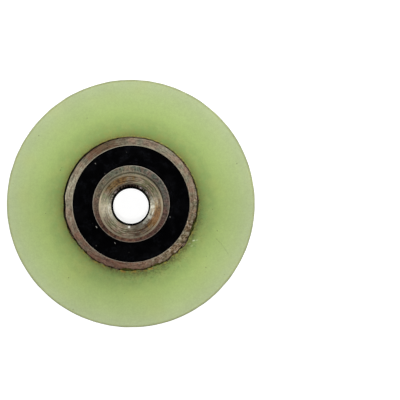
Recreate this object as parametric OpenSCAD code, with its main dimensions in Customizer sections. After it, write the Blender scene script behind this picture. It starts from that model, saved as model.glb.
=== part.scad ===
// V-groove wheel: a moulded tyre on a sealed ball bearing, which turns on a hollow steel sleeve.
// It lies on its plain face at z = 0, and the sleeve's stub points up along +Z. Millimetres.

/* [Wheel] */
// Outside diameter over the two lands beside the groove
wheel_d = 76.2; // [66:0.1:110]
// How far each flat face of the tyre stands proud of the bearing
tyre_proud = 0.325; // [0.1:0.025:4]
// Round on the two outer corners of the rim
rim_round = 0.4; // [0.1:0.05:0.8]
// Round on the two edges at the bearing
tyre_bore_round = 0.2; // [0.1:0.05:0.4]

/* [Groove] */
// Depth below the lands
groove_depth = 5.16; // [3:0.02:6]
// Angle between the two flanks
groove_angle = 60; // [45:1:70]
// Radius at the bottom of the groove
groove_root_r = 2.1; // [1:0.05:2.6]

/* [Sleeve] */
// Length of the stub that stands out of the bearing
stub_l = 19.05; // [8:0.05:40]
// Bore through the sleeve, for a bolt
bolt_bore = 10.5; // [6:0.01:13]
// Width of the countersink where the bore leaves the stub
countersink_w = 1.6; // [0.3:0.05:2]
// Bevel on the sleeve's other edges
sleeve_bevel = 0.5; // [0.2:0.05:0.8]

/* [Bearing rings] */
// Outside diameter of the outer ring, which the tyre grips
bearing_od = 41.275; // [39.5:0.005:46]
// Bore of the inner ring, which the sleeve fills
bearing_bore = 19.05; // [17.5:0.01:20.5]
// Width of both rings
bearing_w = 12.7; // [12:0.01:16]
// Radius on the corners of both rings
ring_corner_r = 0.6; // [0.3:0.05:0.8]
// Height of the shoulders beside the balls, above the bottom of their track
shoulder_h = 1.3; // [0.8:0.05:1.5]
// Step from the outer ring's shoulder out to the seal's seat
seat_step = 0.95; // [0.8:0.05:1.2]
// Step from the inner ring's shoulder in to the land beside the seal's lip
land_step = 1.35; // [1:0.05:1.5]

/* [Balls] */
// Number of balls
ball_count = 9; // [6:1:9]
// Diameter of a ball
ball_d = 6.35; // [5.5:0.05:6.8]
// Radius of the tracks' curve, as a multiple of the ball's radius
track_conformity = 1.04; // [1.02:0.01:1.08]
// Running gap between a ball and each track
ball_gap = 0.03; // [0.01:0.01:0.06]

/* [Cage] */
// Thickness of the pressed steel sheet
cage_sheet = 0.6; // [0.4:0.05:0.8]
// Radial width of the ribbon
cage_w = 2.6; // [2:0.05:2.9]
// Gap between a ball and its pocket
pocket_gap = 0.12; // [0.05:0.01:0.2]
// Diameter of a rivet's shank
rivet_d = 0.9; // [0.6:0.05:1.1]
// Diameter of a rivet's domed head
rivet_head_d = 1.6; // [1.3:0.05:1.8]
// Height of a rivet's domed head
rivet_head_h = 0.4; // [0.25:0.05:0.6]

/* [Seals] */
// Depth of the seal's face below the side faces of the rings
seal_recess = 0.5; // [0.3:0.05:0.6]
// Thickness of the seal
seal_t = 1; // [0.8:0.05:1.1]
// Depth of the undercut that holds the seal's bead
bead_depth = 0.65; // [0.55:0.05:0.8]
// Taper on both sides of the lip
lip_taper = 0.35; // [0.2:0.05:0.4]
// Thickness of the steel washer inside the rubber
washer_t = 0.4; // [0.2:0.05:0.5]
// Rubber left round both edges of the washer
washer_cover = 0.9; // [0.7:0.05:1.1]
// Running gap between the lip and the inner ring
lip_gap = 0.06; // [0.02:0.01:0.1]
// Gap round the bead in its undercut
bead_gap = 0.05; // [0.02:0.01:0.1]
// Gap between the seal and the inner ring's shoulder
shoulder_gap = 0.3; // [0.2:0.05:0.5]

/* [Hidden] */
$fn = 96;
// Overrun of a cut past the face that it opens
OVER = 1;

wheel_r = wheel_d / 2;
half_w = bearing_w / 2;
mid_z = half_w + tyre_proud;
wheel_w = 2 * mid_z;
outer_r = bearing_od / 2;
bore_r = bearing_bore / 2;
pitch_r = (outer_r + bore_r) / 2;
ball_r = ball_d / 2;

// The tracks' circle, their bottoms, and the shoulders that stand above them
track_r = ball_r * track_conformity + ball_gap;
inner_track_bottom = pitch_r - ball_r - ball_gap;
outer_track_bottom = pitch_r + ball_r + ball_gap;
inner_shoulder_r = inner_track_bottom + shoulder_h;
outer_shoulder_r = outer_track_bottom - shoulder_h;

// Radii at the seals, and heights there above the bearing's middle plane
land_r = inner_shoulder_r - land_step;
lip_r = land_r + lip_gap;
seat_r = outer_shoulder_r + seat_step;
undercut_r = seat_r + bead_depth;
seal_face = half_w - seal_recess;
seal_back = seal_face - seal_t;

pocket_r = ball_r + pocket_gap;
pocket_outer_r = pocket_r + cage_sheet;
pocket_angle = 360 / ball_count;

// The sleeve's lower end is flush with the bearing
sleeve_bottom = tyre_proud;
sleeve_top = sleeve_bottom + bearing_w + stub_l;

// What a round of radius r takes off a square corner. The corner is at the origin, and the material lies
// towards -x and -y.
module corner_waste(r) {
    difference() {
        translate([-r, -r]) square(r + OVER);
        translate([-r, -r]) circle(r);
    }
}

// A section from radius r0 to r1 and from height z0 to z1, with its two outer corners rounded
module round_outside(r0, r1, z0, z1, round_r) {
    difference() {
        translate([r0, z0]) square([r1 - r0, z1 - z0]);
        translate([r1, z1]) corner_waste(round_r);
        translate([r1, z0]) rotate(-90) corner_waste(round_r);
    }
}

// The same kind of section, with its two inner corners rounded
module round_inside(r0, r1, z0, z1, round_r) {
    difference() {
        translate([r0, z0]) square([r1 - r0, z1 - z0]);
        translate([r0, z1]) rotate(90) corner_waste(round_r);
        translate([r0, z0]) rotate(180) corner_waste(round_r);
    }
}

// The groove's section: a round root, and two flanks that leave it as tangents
module groove_profile() {
    half = groove_angle / 2;
    root_x = wheel_r - groove_depth + groove_root_r;
    touch_x = root_x - groove_root_r * sin(half);
    touch_z = groove_root_r * cos(half);
    mouth_x = wheel_r + OVER;
    mouth_z = touch_z + (mouth_x - touch_x) * tan(half);
    translate([root_x, 0]) circle(groove_root_r);
    polygon([[touch_x, -touch_z], [mouth_x, -mouth_z], [mouth_x, mouth_z], [touch_x, touch_z]]);
}

// Both sides of the bearing's middle plane
module both_sides() {
    children();
    mirror([0, 1]) children();
}

module tyre() {
    color("#b4c98a")
    rotate_extrude()
    difference() {
        intersection() {
            round_outside(outer_r, wheel_r, 0, wheel_w, rim_round);
            round_inside(outer_r, wheel_r, 0, wheel_w, tyre_bore_round);
        }
        translate([0, mid_z]) groove_profile();
    }
}

// The hollow sleeve: bevelled edges, and a countersink where the bore leaves the stub
module sleeve() {
    bolt_r = bolt_bore / 2;
    color("#86796a")
    rotate_extrude()
    polygon([
        [bolt_r, sleeve_bottom + sleeve_bevel],
        [bolt_r + sleeve_bevel, sleeve_bottom],
        [bore_r - sleeve_bevel, sleeve_bottom],
        [bore_r, sleeve_bottom + sleeve_bevel],
        [bore_r, sleeve_top - sleeve_bevel],
        [bore_r - sleeve_bevel, sleeve_top],
        [bolt_r + countersink_w, sleeve_top],
        [bolt_r, sleeve_top - countersink_w]
    ]);
}

// The ring that the tyre grips: the outer track between two shoulders, and beyond each shoulder the
// opening and the undercut that hold a seal
module outer_ring() {
    undercut_bottom = seal_back - bead_gap;
    undercut_top = seal_face + bead_gap;
    color("#8a7d6f")
    translate([0, 0, mid_z])
    rotate_extrude()
    difference() {
        round_outside(outer_shoulder_r, outer_r, -half_w, half_w, ring_corner_r);
        translate([outer_track_bottom - track_r, 0]) circle(track_r);
        both_sides() {
            translate([0, undercut_bottom]) square([seat_r, half_w]);
            translate([0, undercut_bottom]) square([undercut_r, undercut_top - undercut_bottom]);
        }
    }
}

// The ring round the sleeve: the inner track between two shoulders, and a lower land beyond each shoulder,
// beside which the seal's lip runs
module inner_ring() {
    shoulder_end = seal_back - shoulder_gap;
    color("#7c7062")
    translate([0, 0, mid_z])
    rotate_extrude()
    difference() {
        union() {
            round_inside(bore_r, land_r, -half_w, half_w, ring_corner_r);
            translate([bore_r, -shoulder_end]) square([inner_shoulder_r - bore_r, 2 * shoulder_end]);
        }
        translate([inner_track_bottom + track_r, 0]) circle(track_r);
    }
}

// The steel washer's section, at the back of the rubber
module washer_profile() {
    washer_in = lip_r + washer_cover;
    washer_out = undercut_r - bead_gap - washer_cover;
    translate([washer_in, seal_back]) square([washer_out - washer_in, washer_t]);
}

// The rubber's section: a round bead in the undercut, a flat web, and a tapered lip beside the land
module seal_profile() {
    bead_r = seal_t / 2;
    bead_x = undercut_r - bead_gap - bead_r;
    difference() {
        union() {
            translate([bead_x, seal_back + bead_r]) circle(bead_r);
            polygon([
                [bead_x, seal_back],
                [bead_x, seal_face],
                [lip_r + lip_taper, seal_face],
                [lip_r, seal_face - lip_taper],
                [lip_r, seal_back + lip_taper],
                [lip_r + lip_taper, seal_back]
            ]);
        }
        washer_profile();
    }
}

module seal() {
    color("#0b0b0d")
    rotate_extrude() seal_profile();
}

module washer() {
    color("#8f8f90")
    rotate_extrude() washer_profile();
}

// Places for the balls, numbered from 1 along +X
module at_ball(i) {
    rotate([0, 0, (i - 1) * pocket_angle]) translate([pitch_r, 0, 0]) children();
}

// Places for the rivets, midway between two balls
module at_rivet(i) {
    rotate([0, 0, (i - 0.5) * pocket_angle]) translate([pitch_r, 0, 0]) children();
}

module ball(i) {
    color("#c9cbcc")
    translate([0, 0, mid_z]) at_ball(i) sphere(ball_r);
}

// One half of the ribbon: a flat ring that swells into a round pocket over each ball. Its flat face is at
// z = 0, and its pockets stand up.
module cage_half() {
    color("#9a948a")
    difference() {
        intersection() {
            rotate_extrude()
                translate([pitch_r - cage_w / 2, 0]) square([cage_w, pocket_outer_r + OVER]);
            union() {
                cylinder(h = cage_sheet, r = outer_r);
                for (i = [1:ball_count]) at_ball(i) sphere(pocket_outer_r);
            }
        }
        for (i = [1:ball_count]) {
            at_ball(i) sphere(pocket_r);
            at_rivet(i) cylinder(h = 4 * cage_sheet, d = rivet_d, center = true);
        }
    }
}

// A rivet: a shank through both halves, with a domed head on each side
module rivet() {
    head_r = rivet_head_d / 2;
    dome_r = (head_r * head_r + rivet_head_h * rivet_head_h) / (2 * rivet_head_h);
    rotate_extrude() {
        translate([0, -cage_sheet]) square([rivet_d / 2, 2 * cage_sheet]);
        both_sides()
            intersection() {
                translate([0, cage_sheet + rivet_head_h - dome_r]) circle(dome_r);
                translate([0, cage_sheet]) square([head_r, rivet_head_h]);
            }
    }
}

module cage_rivets() {
    color("#a8a29a")
    translate([0, 0, mid_z])
    for (i = [1:ball_count]) at_rivet(i) rivet();
}

// The upper and the lower of two pieces that mirror each other about the bearing's middle plane
module upper() {
    translate([0, 0, mid_z]) children();
}

module lower() {
    translate([0, 0, mid_z]) mirror([0, 0, 1]) children();
}

tyre();
sleeve();
outer_ring();
inner_ring();
upper() seal();  // seal_top
lower() seal();  // seal_bottom
upper() washer();  // washer_top
lower() washer();  // washer_bottom
upper() cage_half();  // cage_top
lower() cage_half();  // cage_bottom
cage_rivets();
for (i = [1:ball_count])
    ball(i);
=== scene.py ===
import math

import bpy
import numpy as np
from mathutils import Matrix, Vector


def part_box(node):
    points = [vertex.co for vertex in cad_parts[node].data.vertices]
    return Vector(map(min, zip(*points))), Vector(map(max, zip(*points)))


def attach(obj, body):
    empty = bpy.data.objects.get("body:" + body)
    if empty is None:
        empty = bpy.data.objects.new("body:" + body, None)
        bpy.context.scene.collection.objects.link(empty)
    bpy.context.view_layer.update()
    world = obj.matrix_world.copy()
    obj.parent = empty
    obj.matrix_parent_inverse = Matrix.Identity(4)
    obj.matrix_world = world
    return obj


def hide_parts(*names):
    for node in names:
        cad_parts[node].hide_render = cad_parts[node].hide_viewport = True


# The looks of a V-groove wheel: a green cast tyre, a sealed bearing with worn ground rings, and a turned
# sleeve. Sections and patterns are in millimetres; a mesh is put into metres when it is made.

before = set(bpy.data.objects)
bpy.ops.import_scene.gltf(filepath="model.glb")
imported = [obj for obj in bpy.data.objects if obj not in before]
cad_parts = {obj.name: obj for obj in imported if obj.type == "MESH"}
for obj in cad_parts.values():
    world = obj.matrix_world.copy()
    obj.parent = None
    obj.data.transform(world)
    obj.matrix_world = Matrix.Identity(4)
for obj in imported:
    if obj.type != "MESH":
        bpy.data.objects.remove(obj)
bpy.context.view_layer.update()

MM = 0.001


def reach(node):
    """A round node's outer radius, lowest height and highest height, in millimetres."""
    low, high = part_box(node)
    return high.x / MM, low.z / MM, high.z / MM


RIM_R, TYRE_LOW, TYRE_TOP = reach("tyre")
RING_R, RING_LOW, RING_TOP = reach("outer_ring")
SHOULDER_R, _, _ = reach("inner_ring")
SLEEVE_R, SLEEVE_LOW, SLEEVE_TOP = reach("sleeve")
SEAL_R, _, SEAL_TOP = reach("seal_top")
MID = (TYRE_LOW + TYRE_TOP) / 2

# The rest of the sizes, as in the part. The groove's flanks are tangents to its round root.
GROOVE_DEPTH = 5.16
GROOVE_HALF_ANGLE = math.radians(30)
GROOVE_ROOT_R = 2.1
GROOVE_SHARP_DEPTH = GROOVE_DEPTH - GROOVE_ROOT_R + GROOVE_ROOT_R / math.sin(GROOVE_HALF_ANGLE)
GROOVE_HALF_MOUTH = GROOVE_SHARP_DEPTH * math.tan(GROOVE_HALF_ANGLE)
BOLT_R = 5.25
COUNTERSINK = 1.6
CONE_FOOT = SLEEVE_TOP - COUNTERSINK
SLEEVE_BEVEL = 0.5

# The bearing: its tracks are a little wider than the balls, and its rings step from them to land and seat
PITCH_R = (RING_R + SLEEVE_R) / 2
BALL_R = 3.175
BALL_GAP = 0.03
TRACK_CONFORMITY = 1.04
TRACK_R = BALL_R * TRACK_CONFORMITY + BALL_GAP
SHOULDER_H = 1.3
OUTER_SHOULDER_R = PITCH_R + BALL_R + BALL_GAP - SHOULDER_H
SEAT_STEP = 0.95
SEAT_R = OUTER_SHOULDER_R + SEAT_STEP
BEAD_DEPTH = 0.65
LAND_STEP = 1.35
LAND_R = SHOULDER_R - LAND_STEP

# The seals: a bead in the outer ring's undercut, a lip beside the inner ring's land, a washer at the back
SEAL_T = 1.0
SEAL_BACK = SEAL_TOP - SEAL_T
BEAD_GAP = 0.05
LIP_GAP = 0.06
LIP_R = LAND_R + LIP_GAP
LIP_TAPER = 0.35
LIP_ROUND = 0.06
LAND_BEHIND_SEAL = 0.3
WASHER_T = 0.4
WASHER_COVER = 0.9

# How far edges are rounded, from the crispest to the softest
HAIR, FINE, CRISP, GROUND, TURNED, EASED, CORNER = 0.01, 0.02, 0.03, 0.05, 0.08, 0.12, 0.2
MOUTH_ROUND = 0.15
RIM_ROUND = 0.4
RING_ROUND = 0.6


def mirrored(z):
    """The height that lies as far from the wheel's middle as z does, on its other side: 2 MID - z."""
    return 2 * MID - z


# ---- Shapes: sections, and surfaces turned from them ----

def arc(centre, radius, start, end, steps):
    """Points on a circle's arc: centre + radius (cos a, sin a), for angles a from start to end in degrees."""
    a = np.radians(np.linspace(start, end, steps + 1))
    return np.asarray(centre) + radius * np.stack([np.cos(a), np.sin(a)], axis=1)


def rounded(before, corner, after, radius, steps=7):
    """The arc that rounds a corner, touching both of its sides.

    With u and w the unit vectors along the sides and f the angle between them, the centre lies at
    radius / sin(f / 2) from the corner along u + w. The arc swings evenly from one touching point to the
    other: centre + radius (sin((1 - t) b) n1 + sin(t b) n2) / sin b, for t from 0 to 1 and b its angle.
    """
    before, corner, after = np.asarray(before), np.asarray(corner), np.asarray(after)
    u = (before - corner) / np.linalg.norm(before - corner)
    w = (after - corner) / np.linalg.norm(after - corner)
    half = math.acos(np.clip(u @ w, -1, 1)) / 2
    centre = corner + (u + w) / np.linalg.norm(u + w) * radius / math.sin(half)
    n1 = (corner + u * radius / math.tan(half) - centre) / radius
    n2 = (corner + w * radius / math.tan(half) - centre) / radius
    b = math.acos(np.clip(n1 @ n2, -1, 1))
    t = np.linspace(0, 1, steps + 1)[:, None]
    return centre + radius * (np.sin((1 - t) * b) * n1 + np.sin(t * b) * n2) / math.sin(b)


def straight(a, b, step, hold=0.06):
    """Points between a and b at even steps, and one close to each end, which keeps the shading of the corner
    off the flat beside it: a + (b - a) t for the chosen t."""
    length = np.linalg.norm(b - a)
    if length < 3 * hold:
        return np.empty((0, 2))
    t = np.linspace(0, 1, max(2, int(length / step) + 1))[1:-1]
    t = t[(t > 2 * hold / length) & (t < 1 - 2 * hold / length)]
    t = np.concatenate([[hold / length], t, [1 - hold / length]])[:, None]
    return a + (b - a) * t


def section(*stations, step):
    """A closed outline of radius and height. A station is a corner (radius, height, round) or the points of
    an arc; straight lines join them."""
    firsts = [s[0] if isinstance(s, np.ndarray) else s[:2] for s in stations]
    lasts = [s[-1] if isinstance(s, np.ndarray) else s[:2] for s in stations]
    pieces = []
    for i, s in enumerate(stations):
        if not isinstance(s, np.ndarray):
            s = rounded(lasts[i - 1], s[:2], firsts[(i + 1) % len(stations)], s[2])
        pieces.append(s)
    outline = []
    for piece, following in zip(pieces, pieces[1:] + pieces[:1]):
        outline += [piece, straight(piece[-1], following[0], step)]
    return np.concatenate(outline)


def turned(name, outline, body, nodes, count=384, relief=None):
    """A closed outline turned about the Z axis: its point (r, z) at angle a stands at (r cos a, r sin a, z).

    relief(a, r, z) gives what is added to r and z there, which makes the surface less than perfectly round.
    """
    following = np.roll(outline, -1, axis=0)
    if np.sum(outline[:, 0] * following[:, 1] - following[:, 0] * outline[:, 1]) < 0:
        outline = outline[::-1]
    width = len(outline)
    a = np.linspace(0, 2 * math.pi, count, endpoint=False)[:, None]
    r = np.broadcast_to(outline[:, 0], (count, width))
    z = np.broadcast_to(outline[:, 1], (count, width))
    if relief is not None:
        dr, dz = relief(a, r, z)
        r, z = r + dr, z + dz
    points = np.stack([r * np.cos(a), r * np.sin(a), z], axis=2).reshape(-1, 3) * MM
    i, j = np.meshgrid(np.arange(count), np.arange(width), indexing="ij")
    i2, j2 = (i + 1) % count, (j + 1) % width
    quads = np.stack([i * width + j, i2 * width + j, i2 * width + j2, i * width + j2], axis=2).reshape(-1, 4)
    return add_piece(name, points, quads, body, nodes)


def add_piece(name, points, quads, body, nodes):
    """A smooth mesh of four-sided faces that rides on a body and stands for the given nodes."""
    mesh = bpy.data.meshes.new(name)
    mesh.vertices.add(len(points))
    mesh.vertices.foreach_set("co", points.ravel())
    mesh.loops.add(quads.size)
    mesh.loops.foreach_set("vertex_index", quads.ravel())
    mesh.polygons.add(len(quads))
    mesh.polygons.foreach_set("loop_start", np.arange(0, quads.size, 4))
    mesh.polygons.foreach_set("use_smooth", np.ones(len(quads), bool))
    mesh.update(calc_edges=True)
    mesh.validate()
    piece = bpy.data.objects.new(name, mesh)
    bpy.context.scene.collection.objects.link(piece)
    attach(piece, body)
    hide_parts(*nodes)
    return piece


def uneven(a, orders, seed, falloff=0.5):
    """An irregular closed curve over the angle a, between about -1 and 1: the sum over the whole numbers k of
    sin(k a + phase) / k^falloff, with a fixed phase for each k, divided by 1.8 times its root mean square."""
    k = np.arange(*orders)
    phase = np.random.default_rng(seed).uniform(0, 2 * math.pi, len(k))
    weight = k.astype(float) ** -falloff
    total = np.sum(np.sin(a[..., None] * k + phase) * weight, axis=-1)
    return total / (1.8 * np.sqrt(np.sum(weight ** 2) / 2))


def hump(x, centre, half_width):
    """A smooth hump over x that is 1 at the centre and 0 from half_width on: (1 - d^2)^2 for the distance d
    as a share of half_width."""
    d = np.clip(np.abs(x - centre) / half_width, 0, 1)
    return (1 - d ** 2) ** 2


# ---- Finishes: shader arithmetic ----

def light(red, green, blue):
    """A screen colour, 0 to 255, as linear light: ((c / 255 + 0.055) / 1.055)^2.4, or c / 255 / 12.92 for a
    dark one."""
    c = np.array([red, green, blue]) / 255
    c = np.where(c > 0.04045, ((c + 0.055) / 1.055) ** 2.4, c / 12.92)
    return (*c.tolist(), 1.0)


class Shade:
    """A number or colour that varies over a surface: an output socket. Arithmetic on it adds Math nodes, in
    either order: 1 - shade works as shade - 1 does."""

    def __init__(self, finish, socket):
        self.finish = finish
        self.socket = socket

    def __add__(self, other):
        return self.finish.math("ADD", self, other)

    def __sub__(self, other):
        return self.finish.math("SUBTRACT", self, other)

    def __rsub__(self, other):
        return self.finish.math("SUBTRACT", other, self)

    def __mul__(self, other):
        return self.finish.math("MULTIPLY", self, other)

    def __truediv__(self, other):
        return self.finish.math("DIVIDE", self, other)

    def __rtruediv__(self, other):
        return self.finish.math("DIVIDE", other, self)

    def __pow__(self, other):
        return self.finish.math("POWER", self, other)

    def __rpow__(self, other):
        return self.finish.math("POWER", other, self)

    __radd__ = __add__
    __rmul__ = __mul__


class Finish:
    """A material in the making. Its patterns are laid out in millimetres on the object's own coordinates."""

    def __init__(self, name):
        self.material = bpy.data.materials.new(name)
        self.material.use_nodes = True
        self.tree = self.material.node_tree
        self.tree.nodes.clear()
        metres = self.node("ShaderNodeTexCoord", output="Object")
        self.place = self.node("ShaderNodeVectorMath", {"operation": "SCALE"}, {0: metres, "Scale": 1 / MM})
        self.x = self.node("ShaderNodeSeparateXYZ", sockets={0: self.place}, output="X")
        self.y = self.node("ShaderNodeSeparateXYZ", sockets={0: self.place}, output="Y")
        self.z = self.node("ShaderNodeSeparateXYZ", sockets={0: self.place}, output="Z")
        self.r = self.math("SQRT", self.x * self.x + self.y * self.y)
        self.angle = self.math("ARCTAN2", self.y, self.x)

    def node(self, kind, settings=None, sockets=None, output=0):
        """Adds a node: its settings come first, then a value or a link for each socket. Returns an output."""
        made = self.tree.nodes.new(kind)
        for key, value in (settings or {}).items():
            if key == "stops":
                self.set_stops(made.color_ramp, value)
            else:
                setattr(made, key, value)
        for key, value in (sockets or {}).items():
            if isinstance(value, Shade):
                self.tree.links.new(value.socket, made.inputs[key])
            else:
                made.inputs[key].default_value = value
        return Shade(self, made.outputs[output]) if made.outputs else None

    @staticmethod
    def set_stops(ramp, stops):
        """Gives a ramp its stops, each a position and a colour."""
        while len(ramp.elements) < len(stops):
            ramp.elements.new(0.5)
        for element, (position, colour) in zip(ramp.elements, stops):
            element.position = position
            element.color = colour

    def math(self, operation, *values):
        """One Math node on one or two numbers."""
        return self.node("ShaderNodeMath", {"operation": operation}, dict(enumerate(values)))

    def ease(self, value, low, high):
        """0 at low, 1 at high, with a smooth start and end."""
        return self.node("ShaderNodeMapRange", {"interpolation_type": "SMOOTHSTEP"},
                         {"Value": value, "From Min": low, "From Max": high})

    def share(self, value, low, high):
        """How far a number is along the way from low to high, held between 0 and 1."""
        return self.node("ShaderNodeMapRange", None, {"Value": value, "From Min": low, "From Max": high})

    def between(self, value, low, high, soft):
        """1 from low to high, falling smoothly to 0 over the distance soft outside them."""
        return self.ease(value, low - soft, low) * (1 - self.ease(value, high, high + soft))

    def toward(self, degrees, power=1.0):
        """1 on the side that faces the given direction about the axis, 0 on the far side; a high power keeps
        it close to that direction."""
        facing = self.math("COSINE", self.angle - math.radians(degrees))
        return (facing * 0.5 + 0.5) ** power

    def sides(self, *lobes):
        """The sum of several directions, each given as degrees, power and amount."""
        return sum(self.toward(degrees, power) * amount for degrees, power, amount in lobes)

    def washes(self, base, *coats):
        """Paints coats over a colour, each given as degrees, power, amount and colour."""
        for degrees, power, amount, colour in coats:
            base = self.mix(self.toward(degrees, power) * amount, base, colour)
        return base

    def stroke(self, start, end, width):
        """A scratch across a flat face: 1 along the line from start to end, each (x, y), and 0 at the given
        width from it."""
        along = np.subtract(end, start)
        length = float(np.hypot(*along))
        ux, uy = (along / length).tolist()
        dx, dy = self.x - start[0], self.y - start[1]
        off = self.math("ABSOLUTE", dx * uy - dy * ux)
        return (1 - self.ease(off, 0, width)) * self.between(dx * ux + dy * uy, 0, length, width)

    def ramp(self, value, *stops):
        """A colour that follows a number from 0 to 1 through the given stops."""
        return self.node("ShaderNodeValToRGB", {"stops": stops}, {0: value})

    def mix(self, amount, under, over):
        """Paints one colour over another."""
        return self.node("ShaderNodeMix", {"data_type": "RGBA"}, {0: amount, 6: under, 7: over}, output=2)

    def tint(self, colour, value):
        """A colour made lighter or darker by a number."""
        return self.node("ShaderNodeVectorMath", {"operation": "SCALE"}, {0: colour, "Scale": value})

    def grain(self, size, detail=3.0, rough=0.5, where=None):
        """Soft irregular patches of about the given size in millimetres, from 0 to 1."""
        return self.node("ShaderNodeTexNoise", None,
                         {"Vector": where or self.place, "Scale": 1 / size, "Detail": detail,
                          "Roughness": rough}, output="Fac")

    def blotch(self, size, detail=3.0, rough=0.6, spread=0.14, where=None):
        """Patches as grain makes, pushed apart so that they run from 0 to 1 with little in between."""
        return self.ease(self.grain(size, detail, rough, where), 0.5 - spread, 0.5 + spread)

    def lines(self, value, size, detail, rough):
        """Irregular lines across a single direction, of about the given width, from 0 to 1."""
        return self.node("ShaderNodeTexNoise", {"noise_dimensions": "1D"},
                         {"W": value, "Scale": 1 / size, "Detail": detail, "Roughness": rough}, output="Fac")

    def dots(self, size, radius):
        """Scattered dots: 1 inside, 0 outside. Cells are of the given size, dots of the given share of it."""
        far = self.node("ShaderNodeTexVoronoi", None, {"Vector": self.place, "Scale": 1 / size},
                        output="Distance")
        return 1 - self.ease(far, radius * 0.6, radius)

    def round_the_axis(self, along, across):
        """A place for patterns drawn out round the axis: a circle of radius 1 / along, so that there is no
        seam, and the radius and height added and divided by across."""
        around_x = self.math("COSINE", self.angle) * (1 / along)
        around_y = self.math("SINE", self.angle) * (1 / along)
        outward = (self.r + self.z) / across
        return self.node("ShaderNodeCombineXYZ", None, {0: around_x, 1: around_y, 2: outward})

    def relief(self, height, depth, under=None):
        """The normal of a surface with fine relief, whose height runs over the given depth in millimetres."""
        sockets = {"Height": height, "Distance": depth * MM, "Strength": 1.0}
        if under is not None:
            sockets["Normal"] = under
        return self.node("ShaderNodeBump", None, sockets, output="Normal")

    def surface(self, **sockets):
        """Ends the material with one Principled shader; underscores in the names stand for spaces."""
        shader = self.node("ShaderNodeBsdfPrincipled", None,
                           {key.replace("_", " "): value for key, value in sockets.items()})
        self.node("ShaderNodeOutputMaterial", None, {"Surface": shader})
        return self.material


def joint_line(f, steel, green):
    """Paints the joint of bearing and tyre: steel inside it, green outside it, and a dark line between them.

    The joint strays in and out, most of all on the near side, where the tyre has also crept over the ring.
    Its line is solid on the left and at the right, broken elsewhere, and all but gone on the far side.
    Returns the colour, and how much of it the line covers.
    """
    stray = (f.grain(4.5, 3, 0.55) - 0.5) * (0.5 + f.toward(-80, 2) * 3.6) - f.toward(-46, 10) * 0.44
    past = f.r - stray - (RING_R - 0.08)
    base = f.mix(f.ease(past, -0.06, 0.1), steel, green)
    solid = f.sides((163, 3, 1), (-20, 7, 0.5))
    gaps = f.ease(f.grain(1.3, 4, 0.65), 0.38, 0.5) * (1 - solid) * 0.9
    half = 0.08 + solid * 0.11
    drawn = 1 - f.ease(f.math("ABSOLUTE", past), half, half + 0.2)
    line = drawn * (1 - gaps) * (1 - f.toward(80, 40) * 0.8)
    return f.mix(line, base, f.mix(solid, light(56, 46, 18), light(20, 16, 12))), line


# ---- The tyre ----

# The most that the rim and the crept edge move in
OUT_OF_ROUND = 0.08
CREEP = 0.5


def crept_edge(a, seed):
    """How far the tyre has crept over the bearing at the angle a, from 0 to 1: the positive part of an uneven
    curve plus 0.15, where the curve is at its full height on the near right and a third of it opposite."""
    heavy = 0.35 + 0.65 * (0.5 + 0.5 * np.cos(a - math.radians(-50))) ** 2
    return np.clip(uneven(a, (5, 90), seed, 0.4) * heavy + 0.15, 0, 1)


def tyre_relief(a, r, z):
    """The rim is a little out of round, and the edge that grips the bearing has crept over it unevenly.

    The rim moves in by OUT_OF_ROUND (1 + its uneven curve) / 2, rising from none to all over a millimetre of
    radius. Near each face the inner edge moves in by CREEP times that face's crept edge.
    """
    out_of_round = -OUT_OF_ROUND * (1 + np.clip(uneven(a, (3, 60), 11, 0.3), -1, 1)) / 2
    at_rim = np.clip((r - (RIM_R - 1.2)) / 1.0, 0, 1)
    at_bore = np.clip(1 - (r - RING_R) / 0.5, 0, 1)
    near_top = np.clip((z - (TYRE_TOP - 0.6)) / 0.3, 0, 1)
    near_low = np.clip((TYRE_LOW + 0.6 - z) / 0.3, 0, 1)
    crept = crept_edge(a, 5) * near_top + crept_edge(a, 6) * near_low
    dr = out_of_round * at_rim - CREEP * at_bore * crept
    return dr, np.zeros_like(dr)


def make_tyre():
    """The tyre's section turned about the axis: flat faces, and a V groove in the middle of the rim.

    The groove's corner lies at RIM_R - GROOVE_SHARP_DEPTH, where its flanks would meet. The root that rounds
    it touches both flanks and is GROOVE_DEPTH below the rim at its deepest.
    """
    outline = section(
        (RING_R, TYRE_LOW, CORNER), (RIM_R, TYRE_LOW, RIM_ROUND),
        (RIM_R, MID - GROOVE_HALF_MOUTH, MOUTH_ROUND), (RIM_R - GROOVE_SHARP_DEPTH, MID, GROOVE_ROOT_R),
        (RIM_R, MID + GROOVE_HALF_MOUTH, MOUTH_ROUND),
        (RIM_R, TYRE_TOP, RIM_ROUND), (RING_R, TYRE_TOP, CORNER), step=0.6)
    return turned("green_tyre", outline, "wheel", ["tyre"], relief=tyre_relief)


# Pale nicks in the upper face: a place, and how plainly each shows
NICKS = ((19.0, -11.35, 0.85), (20.0, -11.2, 0.35), (17.7, -12.3, 0.25), (18.4, -13.0, 0.25))

# The scratch in the upper face, from point to point
SCRATCH = ((26.1, -10.7), (27.7, -12.3), (29.9, -15.5))


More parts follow.
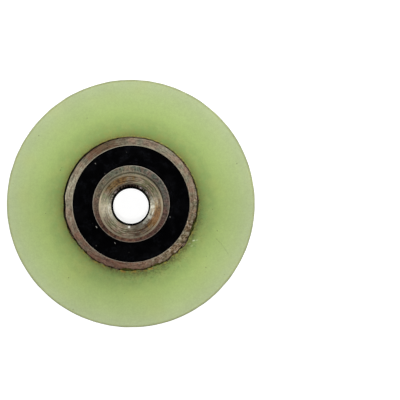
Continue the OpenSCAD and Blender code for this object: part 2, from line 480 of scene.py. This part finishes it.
def tyre_finish():
    """Cast green polyurethane: greener and darker towards the bearing, partly from grime and rust that have
    bled into it and partly as painted shade. Painted shade also darkens the rim's edge and the groove's root,
    and painted light lifts the faces beside the bearing at the left and right."""
    f = Finish("cast_green")
    out = f.share(f.r, RING_R, RIM_R)
    # Greener and darker towards the bearing: partly grime and rust, partly painted shade. The last stops
    # paint a dark outline on the rim's rounded edge: edge grime and painted shade.
    faces = f.ramp(
        out, (0.0, light(110, 122, 54)), (0.06, light(124, 140, 70)), (0.16, light(147, 167, 94)),
        (0.4, light(165, 187, 111)), (0.58, light(170, 190, 121)), (0.76, light(174, 191, 131)),
        (0.955, light(177, 190, 144)), (0.974, light(162, 171, 124)), (0.992, light(128, 138, 96)))
    # Painted shade in the groove: the green grows more saturated towards its root, and darker there on the
    # near right.
    depth = f.share(f.math("ABSOLUTE", f.z - MID), GROOVE_HALF_MOUTH, 0)
    groove = f.mix(f.toward(-60, 2), light(156, 196, 110), light(144, 176, 78))
    groove = f.mix(f.ease(depth, 0, 0.8), light(158, 182, 118), groove)
    faces = f.mix(f.ease(depth, 0.0, 0.06), faces, groove)
    cloud = f.grain(8, 3, 0.55) - 0.5
    bands = f.grain(1, 3, 0.55, f.round_the_axis(0.5, 1.3)) - 0.5
    mottle = f.grain(1.5, 3, 0.6) - 0.5
    fine = f.grain(0.5, 2, 0.7) - 0.5
    base = f.tint(faces, 1 + cloud * 0.16 + bands * 0.08 + mottle * 0.09 + fine * 0.3)
    yellow = f.ease(f.grain(12, 2), 0.5, 0.75)
    base = f.mix(yellow * 0.16, base, light(186, 184, 92))
    inward = 1 - f.ease(f.r, RING_R + 1, RING_R + 9)
    # Painted light: the faces beside the bearing are made a little lighter at the right and at the left.
    base = f.tint(base, 1 + inward * f.sides((-6, 6, 0.07), (180, 6, 0.04)))
    base = f.mix(f.blotch(2.6) * inward * 0.4, base, light(112, 156, 84))
    base = f.mix(f.blotch(1.1) * inward * inward * 0.25, base, light(150, 140, 72))

    # Grime by the bearing: a stain and dark flecks close to it, and a spray of specks further out
    heavy = f.toward(-62, 3)
    near = 1 - f.ease(f.r, RING_R + 0.2, RING_R + 1.0 + heavy * 2.4)
    stain = near * f.ease(f.grain(1.5, 4, 0.65), 0.38, 0.64)
    base = f.mix(stain * (0.24 + heavy * 0.1), base, light(90, 94, 40))
    flecks = f.blotch(0.55, 3, 0.7, 0.06) * near * near
    base = f.mix(flecks * (0.22 + heavy * 0.55), base, light(58, 56, 22))
    wide = 1 - f.ease(f.r, RING_R + 0.6, RING_R + 5.5)
    spray = f.ease(f.grain(0.8, 3, 0.7), 0.54, 0.6) * wide * f.toward(-56, 4)
    base = f.mix(spray * 0.6, base, light(88, 104, 42))

    # Rust that has bled into the edge, a brown fringe at the far left, pale dust at the far right
    close = 1 - f.ease(f.r, RING_R + 0.15, RING_R + 0.6 + heavy * 0.4)
    rust = close * f.blotch(0.8, 3, 0.6, 0.05) * f.blotch(3.2, 2, 0.5, 0.08)
    rust_tone = f.mix(f.blotch(1.9), light(150, 138, 44), light(160, 112, 34))
    base = f.mix(rust * (0.3 + f.toward(-100, 3) * 0.5), base, rust_tone)
    fringe = (1 - f.ease(f.r, RING_R + 0.2, RING_R + 1.7)) * f.sides((125, 8, 1), (195, 12, 0.8))
    base = f.mix(fringe * f.blotch(0.6, 3, 0.7, 0.06) * 0.6, base, light(108, 96, 40))
    pale = close * f.blotch(0.7, 2, 0.6, 0.06) * f.toward(50, 2)
    base = f.mix(pale * 0.4, base, light(196, 182, 92))
    base, line = joint_line(f, light(122, 98, 82), base)

    # Specks, the scratch and the nicks
    specks = f.dots(2.6, 0.09) * f.ease(f.grain(6, 1), 0.45, 0.6)
    base = f.mix(specks * 0.6, base, light(86, 84, 50))
    scratch = f.stroke(SCRATCH[0], SCRATCH[1], 0.2) + f.stroke(SCRATCH[1], SCRATCH[2], 0.18)
    base = f.mix(scratch * f.ease(f.grain(0.5, 2), 0.3, 0.6) * 0.5, base, light(88, 106, 58))
    for x, y, paleness in NICKS:
        base = f.mix(f.stroke((x, y), (x + 0.4, y + 0.12), 0.3) * paleness, base, light(222, 230, 190))

    turning = f.lines(f.r + f.z, 0.35, 3, 0.6)
    rough = 0.42 + mottle * 0.1 + turning * 0.08
    normal = f.relief(turning, 0.006)
    normal = f.relief(f.grain(2.4, 3, 0.6), 0.03, normal)
    return f.surface(Base_Color=base, Metallic=line, Roughness=rough, Normal=normal, Subsurface_Weight=0.25,
                     Subsurface_Radius=(1.0, 0.9, 0.45), Subsurface_Scale=0.004, IOR=1.5)


# ---- The bearing ----

def ball_track(shoulder, centre, facing):
    """The arc of a ball's track in a ring's section, of radius TRACK_R round (centre, MID). It faces 0 or 180
    degrees and swings to where the circle meets the shoulder, at acos of the shoulder's share of TRACK_R."""
    swing = math.degrees(math.acos(abs(shoulder - centre) / TRACK_R))
    return arc((centre, MID), TRACK_R, facing + swing, facing - swing, 24)


def make_outer_ring():
    """The outer ring's section turned about the axis: a ball track between shoulders, and beyond each
    shoulder an undercut for the seal's bead and a seat that opens to the face."""
    back, front = SEAL_BACK - BEAD_GAP, SEAL_TOP + BEAD_GAP
    undercut = SEAT_R + BEAD_DEPTH
    outline = section(
        (RING_R, RING_LOW, RING_ROUND), (RING_R, RING_TOP, RING_ROUND), (SEAT_R, RING_TOP, CORNER),
        (SEAT_R, front, CRISP), (undercut, front, GROUND), (undercut, back, GROUND),
        (OUTER_SHOULDER_R, back, GROUND),
        ball_track(OUTER_SHOULDER_R, PITCH_R + BALL_R + BALL_GAP - TRACK_R, 0),
        (OUTER_SHOULDER_R, mirrored(back), GROUND), (undercut, mirrored(back), GROUND),
        (undercut, mirrored(front), GROUND), (SEAT_R, mirrored(front), CRISP), (SEAT_R, RING_LOW, CORNER),
        step=0.7)
    return turned("ground_outer_ring", outline, "wheel", ["outer_ring"])


def make_inner_ring():
    """The inner ring's section turned about the axis: a ball track between shoulders, and a lower land beyond
    each shoulder, on which the seal's lip runs."""
    end = SEAL_BACK - LAND_BEHIND_SEAL
    outline = section(
        (SLEEVE_R, RING_LOW, RING_ROUND), (LAND_R, RING_LOW, EASED), (LAND_R, mirrored(end), GROUND),
        (SHOULDER_R, mirrored(end), GROUND),
        ball_track(SHOULDER_R, PITCH_R - BALL_R - BALL_GAP + TRACK_R, 180),
        (SHOULDER_R, end, GROUND), (LAND_R, end, GROUND), (LAND_R, RING_TOP, EASED),
        (SLEEVE_R, RING_TOP, RING_ROUND), step=0.7)
    return turned("ground_inner_ring", outline, "hub", ["inner_ring"])


def make_seal(name, node, flip):
    """A seal's section turned about the axis: a round bead, a flat web that is recessed at the back for its
    washer and grooved at the face, and a tapered lip. flip mirrors it about the wheel's middle."""
    def side(z):
        return mirrored(z) if flip else z

    face, back = side(SEAL_TOP), side(SEAL_BACK)
    washer_out, washer_in = SEAL_R - WASHER_COVER, LIP_R + WASHER_COVER
    washer_face = side(SEAL_BACK + WASHER_T)
    groove_in, groove_out, groove_slope = LIP_R + 0.9, LIP_R + 1.35, 0.1
    groove_floor = side(SEAL_TOP - 0.08)
    swing = (-90, 90) if flip else (90, -90)
    outline = section(
        arc((SEAL_R - SEAL_T / 2, (face + back) / 2), SEAL_T / 2, *swing, 10),
        (washer_out, back, HAIR), (washer_out, washer_face, HAIR),
        (washer_in, washer_face, HAIR), (washer_in, back, HAIR),
        (LIP_R + LIP_TAPER, back, CRISP), (LIP_R, side(SEAL_BACK + LIP_TAPER), CRISP),
        (LIP_R, side(SEAL_TOP - LIP_TAPER), GROUND), (LIP_R + LIP_TAPER, face, LIP_ROUND),
        (groove_in, face, GROUND), (groove_in + groove_slope, groove_floor, GROUND),
        (groove_out - groove_slope, groove_floor, GROUND), (groove_out, face, GROUND), step=0.5)
    return turned(name, outline, "wheel", [node])


def outer_ring_finish():
    """Ground steel gone brown: a fine lay round the axis, red rust at the near left and the far left, dirt
    caked at the near right, a painted highlight at the left, and a pale edge beside the seal, partly wear and
    partly a painted highlight."""
    f = Finish("ground_outer_steel")
    fine = f.blotch(0.6, 3, 0.7, 0.2)
    lay = f.blotch(1, 3, 0.65, 0.16, f.round_the_axis(0.16, 0.28))
    patch = f.blotch(2.4, 4, 0.6, 0.12)
    base = f.mix(patch, light(160, 126, 106), light(144, 142, 120))
    # Of these coats, the light one at the left is a painted highlight; the rest are the steel's own tones.
    base = f.washes(
        base, (68, 5, 0.5, light(138, 136, 120)), (162, 12, 0.8, light(180, 178, 156)),
        (116, 40, 0.85, light(98, 82, 62)), (-108, 4, 0.6, light(130, 98, 88)),
        (-38, 8, 0.5, light(150, 138, 106)))
    base = f.tint(base, 0.26 + fine * 0.74 + lay * 0.74)
    rust = f.blotch(1.7, 3, 0.6, 0.08) * f.sides((132, 16, 1), (-112, 3, 1))
    base = f.mix(rust * 0.4, base, light(140, 92, 70))
    caked = f.toward(-30, 7)
    lumps = f.grain(0.9, 4, 0.65)
    base = f.mix(f.ease(lumps, 0.52, 0.6) * caked * 0.8, base, light(70, 54, 22))
    base = f.mix((1 - f.ease(lumps, 0.38, 0.46)) * caked * 0.85, base, light(216, 206, 184))
    # The pale edge beside the seal: partly wear, partly a painted highlight, strongest towards the far left.
    worn_and_highlit_edge = 1 - f.ease(f.r, SEAT_R + 0.14, SEAT_R + 0.3)
    base = f.mix(worn_and_highlit_edge * (0.5 + f.sides((150, 2, 0.5), (88, 300, 0.4))), base, light(214, 208, 188))
    base, line = joint_line(f, base, light(92, 96, 44))
    rough = 0.42 + patch * 0.1 + line * 0.3 + fine * 0.1
    normal = f.relief(lay + fine, 0.035)
    normal = f.relief(lumps * (0.2 + caked * 1.8), 0.16, normal)
    return f.surface(Base_Color=base, Metallic=1.0, Roughness=rough, Normal=normal,
                     Anisotropic=0.5, Anisotropic_Rotation=0.25)


def inner_ring_finish():
    """The same steel: cross-ground and grey-green on the far side, grey at the far right, red on the near
    side, where painted shade of the sleeve also darkens it. Its edge by the sleeve carries painted light on
    the far side, and its edge by the seal is pale, partly from wear and partly as a painted highlight."""
    f = Finish("ground_inner_steel")
    fine = f.blotch(0.6, 3, 0.7, 0.2)
    strokes = f.blotch(1, 2, 0.6, 0.2, f.round_the_axis(0.022, 5))
    patch = f.blotch(2.2, 3, 0.6, 0.12)
    # Lighter and grey-green on the far side, darker and red on the near side: partly the steel's own tones,
    # partly painted shade of the sleeve.
    base = f.mix(f.toward(106, 1.5), light(132, 96, 84), light(152, 148, 124))
    base = f.mix(f.toward(32, 8) * 0.85, base, light(132, 120, 116))
    # Darker at the near left and near right: painted shadow of the sleeve, with red rust.
    base = f.mix(f.sides((-142, 20, 0.75), (-54, 24, 0.4)), base, light(92, 66, 62))
    base = f.mix(patch * 0.5, base, light(128, 96, 86))
    base = f.mix(f.blotch(1.5, 3, 0.6, 0.08) * f.toward(66, 1.5) * 0.6, base, light(92, 118, 106))
    base = f.mix(f.blotch(1.2, 3, 0.6, 0.08) * f.toward(-112, 6) * 0.5, base, light(170, 130, 96))
    across = 0.3 + f.toward(92, 4) * 0.7
    base = f.tint(base, 0.84 + (fine - 0.5) * 0.85 + (strokes - 0.5) * across * 0.75)
    # Painted light along the edge by the sleeve on the far side, where the corner would lie in shade.
    inner = 1 - f.ease(f.r, SLEEVE_R + 0.5, SLEEVE_R + 0.75)
    base = f.mix(inner * f.toward(100, 3) * 0.4, base, light(216, 208, 190))
    # The edge by the seal: pale partly from wear and partly as a painted highlight.
    worn_and_highlit_edge = f.ease(f.r, LAND_R - 0.3, LAND_R - 0.14)
    base = f.mix(worn_and_highlit_edge * 0.65, base, light(178, 170, 156))
    rough = 0.42 + fine * 0.14
    normal = f.relief(strokes + fine, 0.03)
    return f.surface(Base_Color=base, Metallic=1.0, Roughness=rough, Normal=normal,
                     Anisotropic=0.4, Anisotropic_Rotation=0.25)


# Grains of dust on a seal: a place, a length, and how plainly each shows
DUST = ((-10.8, -6.9, 0.4, 1.0), (-5.1, -11.9, 0.3, 0.6), (-11.0, 12.5, 0.15, 0.4), (-8.1, 9.4, 0.1, 0.2),
        (11.9, -4.0, 0.1, 0.6), (-10.8, -12.8, 0.1, 0.2))


def rubber_finish():
    """Black rubber with a faint film and a few grains of dust."""
    f = Finish("seal_rubber")
    dust = f.dots(2.3, 0.05) * f.ease(f.grain(3.4, 1), 0.52, 0.58) * 0.2
    for x, y, length, paleness in DUST:
        dust = dust + f.stroke((x, y), (x + length * 0.6, y - length), 0.18) * paleness
    film = f.grain(3.5, 4, 0.6)
    base = f.mix(f.ease(film, 0.46, 0.66), light(1, 1, 2), light(7, 7, 9))
    scuffs = f.blotch(0.6, 3, 0.7, 0.06) * f.ease(f.grain(2.6, 2), 0.5, 0.62)
    base = f.mix(scuffs * 0.5, base, light(20, 21, 25))
    base = f.mix(dust, base, light(196, 192, 184))
    return f.surface(Base_Color=base, Roughness=0.42 + film * 0.2, Normal=f.relief(f.grain(0.4, 3), 0.01),
                     Specular_IOR_Level=0.015)


def bright_finish(name, tone, roughness):
    """Clean steel inside the bearing, a little uneven in tone and gloss."""
    f = Finish(name)
    fine = f.grain(0.6, 3, 0.6)
    base = f.tint(tone[:3], 0.9 + fine * 0.2)
    return f.surface(Base_Color=base, Metallic=1.0, Roughness=roughness + fine * 0.08)


# ---- The sleeve ----

# The chatter in the countersink: how many teeth there are, how deep they are cut, and where the oxide has
# chipped off them, in degrees about the axis
CHATTER_TEETH = 44
CHATTER_DEPTH = 0.2
CHIPS = (153, 137, 62, 40)


def sleeve_relief(a, r, z):
    """Chatter in the countersink: teeth cut into the cone where it meets the bore, deeper on the far side.

    Along the cone's normal the surface sinks by CHATTER_DEPTH times sin^2 of an uneven tooth angle, where
    that sine is positive, times an uneven depth and a hump over the lower half of the cone.
    """
    teeth = np.clip(np.sin(CHATTER_TEETH * a + 3.5 * uneven(a, (3, 20), 3)), 0, 1) ** 2
    teeth = teeth * np.clip(0.6 + 0.8 * uneven(a, (7, 40), 9), 0, 1)
    on_far_side = np.clip(uneven(a, (2, 9), 8) * 0.4 + 0.5 + 0.5 * np.sin(a), 0, 1)
    on_cone = hump(r, BOLT_R + 0.6, 0.7) * (z > CONE_FOOT - 0.02)
    depth = CHATTER_DEPTH * teeth * on_far_side * on_cone
    return depth * 0.7, -depth * 0.7


def make_sleeve():
    """The sleeve's section turned about the axis: a tube with bevelled ends and a countersink at the top,
    which is a straight cone of close rings, so that the chatter can be cut into it."""
    top, low, bevel = SLEEVE_TOP, SLEEVE_LOW, SLEEVE_BEVEL
    outer_edge = np.array([BOLT_R + COUNTERSINK - 0.08, top - 0.08])
    inner_edge = np.array([BOLT_R + 0.06, CONE_FOOT + 0.06])
    cone = outer_edge + (inner_edge - outer_edge) * np.linspace(0, 1, 16)[:, None]
    outline = section(
        (BOLT_R, low + bevel, GROUND), (BOLT_R + bevel, low, GROUND), (SLEEVE_R - bevel, low, TURNED),
        (SLEEVE_R, low + bevel, TURNED), (SLEEVE_R, top - bevel, EASED), (SLEEVE_R - bevel, top, EASED),
        (BOLT_R + COUNTERSINK + 0.12, top, FINE), cone, (BOLT_R, CONE_FOOT - 0.12, FINE), step=2.2)
    return turned("turned_sleeve", outline, "hub", ["sleeve"], count=720,
                  relief=sleeve_relief)


def sleeve_finish():
    """Turned steel: open tool lines, rust, painted shade and painted highlights on the end, a brushed side
    painted lighter behind, a chattered cone dark with oxide and painted shade, and a bore painted near white."""
    f = Finish("turned_steel")

    # The end: tool lines, green and brown patches, painted shade on three sides, painted highlights at left
    # and right
    turning = f.lines(f.r - f.z, 0.32, 3, 0.7)
    around = f.grain(1, 3, 0.6, f.round_the_axis(0.3, 0.36))
    fine = f.blotch(0.55, 3, 0.7, 0.2)
    patch = f.grain(2.0, 4, 0.6)
    lines = f.ease(turning * 0.5 + around * 0.65, 0.5, 0.66)
    base = f.mix(lines, light(80, 68, 52), light(190, 182, 156))
    base = f.mix(f.blotch(1.6, 3, 0.6, 0.1) * 0.5, base, light(150, 116, 100))
    green = f.blotch(1.9, 3, 0.6, 0.1) * f.sides((40, 10, 1), (158, 16, 1), (-130, 16, 0.6))
    base = f.mix(green * 0.75, base, light(118, 130, 90))
    # Painted shade at the far right, on the far side and on the near side of the end
    base = f.mix(f.sides((52, 40, 0.15), (103, 40, 0.3), (-75, 28, 0.34)), base, light(78, 60, 48))
    # Painted highlights at the left and at the right, where the lights catch the tool lines
    base = f.mix(f.sides((184, 28, 0.5), (4, 40, 0.5)), base, light(216, 208, 184))
    base = f.tint(base, 0.76 + fine * 0.42)

    # The side: brushed round the axis, darker in front, and painted lighter behind: painted light, made less
    # metallic there
    flank = f.ease(f.r, SLEEVE_R - 0.12, SLEEVE_R - 0.04)
    marks = f.blotch(1, 3, 0.6, 0.2, f.round_the_axis(0.3, 0.26))
    brushed = f.mix(marks, light(76, 74, 68), light(112, 108, 98))
    brushed = f.mix(patch * 0.4, brushed, light(92, 70, 56))
    painted_light_behind = f.mix(marks, light(122, 114, 92), light(184, 178, 150))
    brushed = f.mix(f.toward(104, 2) * 0.8, brushed, painted_light_behind)
    base = f.mix(flank, base, brushed)

    # Rust on two sides of the end and in its tool grooves, and a painted highlight along the bevelled rim
    end = f.between(f.r, 7.4, 9.0, 0.5) * f.ease(f.z, SLEEVE_TOP - 0.6, SLEEVE_TOP - 0.4)
    rust = f.ease(patch + f.sides((120, 14, 1), (-18, 12, 1)) * 0.42, 0.55, 0.85) * end
    stain = f.mix(f.blotch(0.55, 3, 0.7, 0.1) * 0.5 + lines * 0.5, light(64, 42, 15), light(170, 128, 60))
    stain = f.mix(f.toward(-24, 40) * 0.5, stain, light(178, 118, 60))
    base = f.mix(rust * 0.7, base, stain)
    outer_groove = f.between(f.r, 8.2, 8.65, 0.2) * f.toward(4, 60)
    inner_groove = f.between(f.r, 7.7, 7.95, 0.15) * f.toward(-12, 140) * 0.6
    grooves = (outer_groove + inner_groove) * f.ease(around, 0.36, 0.56)
    base = f.mix(grooves * 0.8, base, light(84, 50, 12))
    # The pale band on the rim's bevel is a painted highlight, weaker on the near side and at the far left
    rim = f.ease(f.r, SLEEVE_R - 0.64, SLEEVE_R - 0.54) * f.ease(f.z, SLEEVE_TOP - 0.55, SLEEVE_TOP - 0.45)
    rim_highlight_tone = f.mix(f.toward(80, 1.5), light(184, 170, 146), light(132, 122, 100))
    base = f.mix(rim * (0.9 - f.sides((-80, 8, 0.5), (128, 10, 0.45))), base, rim_highlight_tone)

    # The cone: burnished and painted with highlights at the right and left, and a few painted glints on the
    # near side; dark oxide and painted shade between the teeth on the far side
    cone = f.between(f.r, BOLT_R, BOLT_R + COUNTERSINK - 0.15, 0.3) * f.ease(f.z, CONE_FOOT - 0.2, CONE_FOOT)
    # Partly burnish, partly painted highlights at the right and the left
    burnished_and_highlit = cone * f.sides((-14, 5, 1), (-46, 40, 0.5), (188, 14, 0.8))
    burnished_and_highlit = burnished_and_highlit * f.ease(f.grain(1.0, 3), 0.36, 0.52)
    base = f.mix(burnished_and_highlit * 0.9, base, light(220, 218, 202))
    base = f.mix(cone * f.toward(-78, 10) * 0.55, base, light(104, 100, 88))
    middle = f.between(f.r, BOLT_R + 0.7, BOLT_R + 1.1, 0.12) * cone
    # Painted glints: three small white spots on the near side
    painted_glint = f.sides((-95, 1600, 0.9), (-52, 1600, 0.5), (-31, 1600, 0.4))
    base = f.mix(middle * painted_glint, base, light(255, 255, 246))
    wander = (f.grain(1.6, 2) - 0.5) * 8
    chatter = f.ease(f.math("SINE", f.angle * CHATTER_TEETH + wander), -0.3, 0.8)
    chatter = chatter * (1 - f.toward(94, 24) * 0.7)
    # The cone's far side faces away from the light: its dark is oxide and painted shade
    oxide_and_shade = cone * f.ease(f.toward(94), 0.54, 0.96) * (1 - f.ease(f.r, BOLT_R + 1.1, BOLT_R + 1.55))
    base = f.mix(oxide_and_shade * (1 - chatter * 0.85), base, f.mix(fine, light(14, 9, 8), light(68, 46, 44)))
    chips = f.sides(*((degrees, 900, 1) for degrees in CHIPS)) * f.ease(f.grain(0.5, 2), 0.3, 0.6)
    base = f.mix(middle * chips, base, light(232, 216, 216))

    # A black line round the bore's mouth, painted shade of the bore's wall with some grime, and the bore
    # below it
    # painted near white: painted light, as bright as the glowing floor seen through it
    lip = BOLT_R + 0.5 + f.sides((80, 2, 0.16), (-30, 3, -0.14))
    mouth_shade_and_grime = (1 - f.ease(f.r, lip, lip + 0.14)) * f.ease(f.z, CONE_FOOT - 2.5, CONE_FOOT - 1.5)
    base = f.mix(mouth_shade_and_grime, base, light(3, 3, 3))
    # Painted light: the bore painted near white and made smooth
    bore = 1 - f.ease(f.r, BOLT_R + 0.02, BOLT_R + 0.06)
    bore = bore * (1 - f.ease(f.z, CONE_FOOT - 2.6, CONE_FOOT - 1.8))
    base = f.mix(bore, base, light(250, 250, 248))

    # Less metallic under rust, and on the side's far side, where the painted light is laid
    metal = 1 - rust * 0.3 - flank * f.toward(100, 3) * 0.5
    rough = (0.5 + turning * 0.12 + rust * 0.15) * (1 - bore * 0.85) - flank * (0.3 + marks * 0.08)
    normal = f.relief((turning + around * 0.6) * (1 - flank * 0.85), 0.025)
    normal = f.relief(fine, 0.02, normal)
    return f.surface(Base_Color=base, Metallic=metal, Roughness=rough, Normal=normal,
                     Anisotropic=0.85, Anisotropic_Rotation=0.25)


# ---- Dressing every piece ----

def dress(obj, material):
    """Gives every slot of an object the same material."""
    if not obj.data.materials:
        obj.data.materials.append(material)
    for i in range(len(obj.data.materials)):
        obj.data.materials[i] = material


dress(make_tyre(), tyre_finish())
dress(make_outer_ring(), outer_ring_finish())
dress(make_inner_ring(), inner_ring_finish())
dress(make_sleeve(), sleeve_finish())
rubber = rubber_finish()
dress(make_seal("upper_seal", "seal_top", False), rubber)
dress(make_seal("lower_seal", "seal_bottom", True), rubber)

ball_steel = bright_finish("ball_steel", light(216, 217, 218), 0.08)
cage_steel = bright_finish("cage_steel", light(168, 160, 150), 0.32)
for node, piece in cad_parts.items():
    if node.startswith("ball"):
        dress(piece, ball_steel)
    elif node.startswith(("cage", "washer")):
        dress(piece, cage_steel)


# ---- Floor, light and camera, in metres ----

FLOOR_HALF = 4.0
FLOOR_GLOW = 0.92
SKY = 0.38

# Each softbox: its name, its place, its width and height, its watts. All face the middle of the upper face.
SOFTBOXES = (
    ("left_softbox", (-0.42, 0.04, 0.34), (0.2, 0.4), 1.1),
    ("right_softbox", (0.42, 0.04, 0.34), (0.2, 0.4), 0.9),
    ("far_softbox", (0.1, 0.28, 0.25), (0.36, 0.14), 0.74))

# The camera looks almost straight down at the upper face, with the wheel left of its middle
FACE_Z = TYRE_TOP * MM
CAMERA_PLACE = (0.0023, 0.0182, FACE_Z + 0.4777)
CAMERA_AIM = (0.02114, 0.0012, FACE_Z)
CAMERA_LENS = 140
CAMERA_SENSOR = 36


def add_floor():
    """A pale square floor, lit a little from within like a light table."""
    h = FLOOR_HALF
    mesh = bpy.data.meshes.new("floor")
    mesh.from_pydata([(-h, -h, 0), (h, -h, 0), (h, h, 0), (-h, h, 0)], [], [(0, 1, 2, 3)])
    floor = bpy.data.objects.new("floor", mesh)
    bpy.context.scene.collection.objects.link(floor)
    f = Finish("pale_floor")
    dress(floor, f.surface(Base_Color=(0.35, 0.35, 0.35, 1), Roughness=0.9, Specular_IOR_Level=0.0,
                           Emission_Color=(1, 1, 1, 1), Emission_Strength=FLOOR_GLOW))


def add_softbox(name, place, size, watts):
    """A soft rectangular light at a place, turned to face the middle of the upper face."""
    lamp = bpy.data.lights.new(name, "AREA")
    lamp.shape = "RECTANGLE"
    lamp.size, lamp.size_y = size
    lamp.energy = watts
    box = bpy.data.objects.new(name, lamp)
    box.location = place
    box.rotation_euler = (Vector((0, 0, FACE_Z)) - Vector(place)).to_track_quat("-Z", "Y").to_euler()
    bpy.context.scene.collection.objects.link(box)


def add_sky():
    """Even white light from all round."""
    world = bpy.data.worlds.new("studio")
    world.use_nodes = True
    background = world.node_tree.nodes["Background"]
    background.inputs["Color"].default_value = (1, 1, 1, 1)
    background.inputs["Strength"].default_value = SKY
    bpy.context.scene.world = world


def add_camera():
    """The camera at its place, looking at its aim, with +Y upwards in its picture.

    Its axes have length one: back along place - aim, right along +Y x back, and up along back x right.
    """
    data = bpy.data.cameras.new("camera")
    data.lens = CAMERA_LENS
    data.sensor_width = CAMERA_SENSOR
    data.clip_start, data.clip_end = 0.01, 20
    camera = bpy.data.objects.new("camera", data)
    place = Vector(CAMERA_PLACE)
    back = (place - Vector(CAMERA_AIM)).normalized()
    right = Vector((0, 1, 0)).cross(back).normalized()
    axes = Matrix((right, back.cross(right), back)).transposed()
    camera.matrix_world = Matrix.Translation(place) @ axes.to_4x4()
    bpy.context.scene.collection.objects.link(camera)
    bpy.context.scene.camera = camera


add_floor()
for softbox in SOFTBOXES:
    add_softbox(*softbox)
add_sky()
bpy.context.scene.view_settings.view_transform = "Standard"
add_camera()
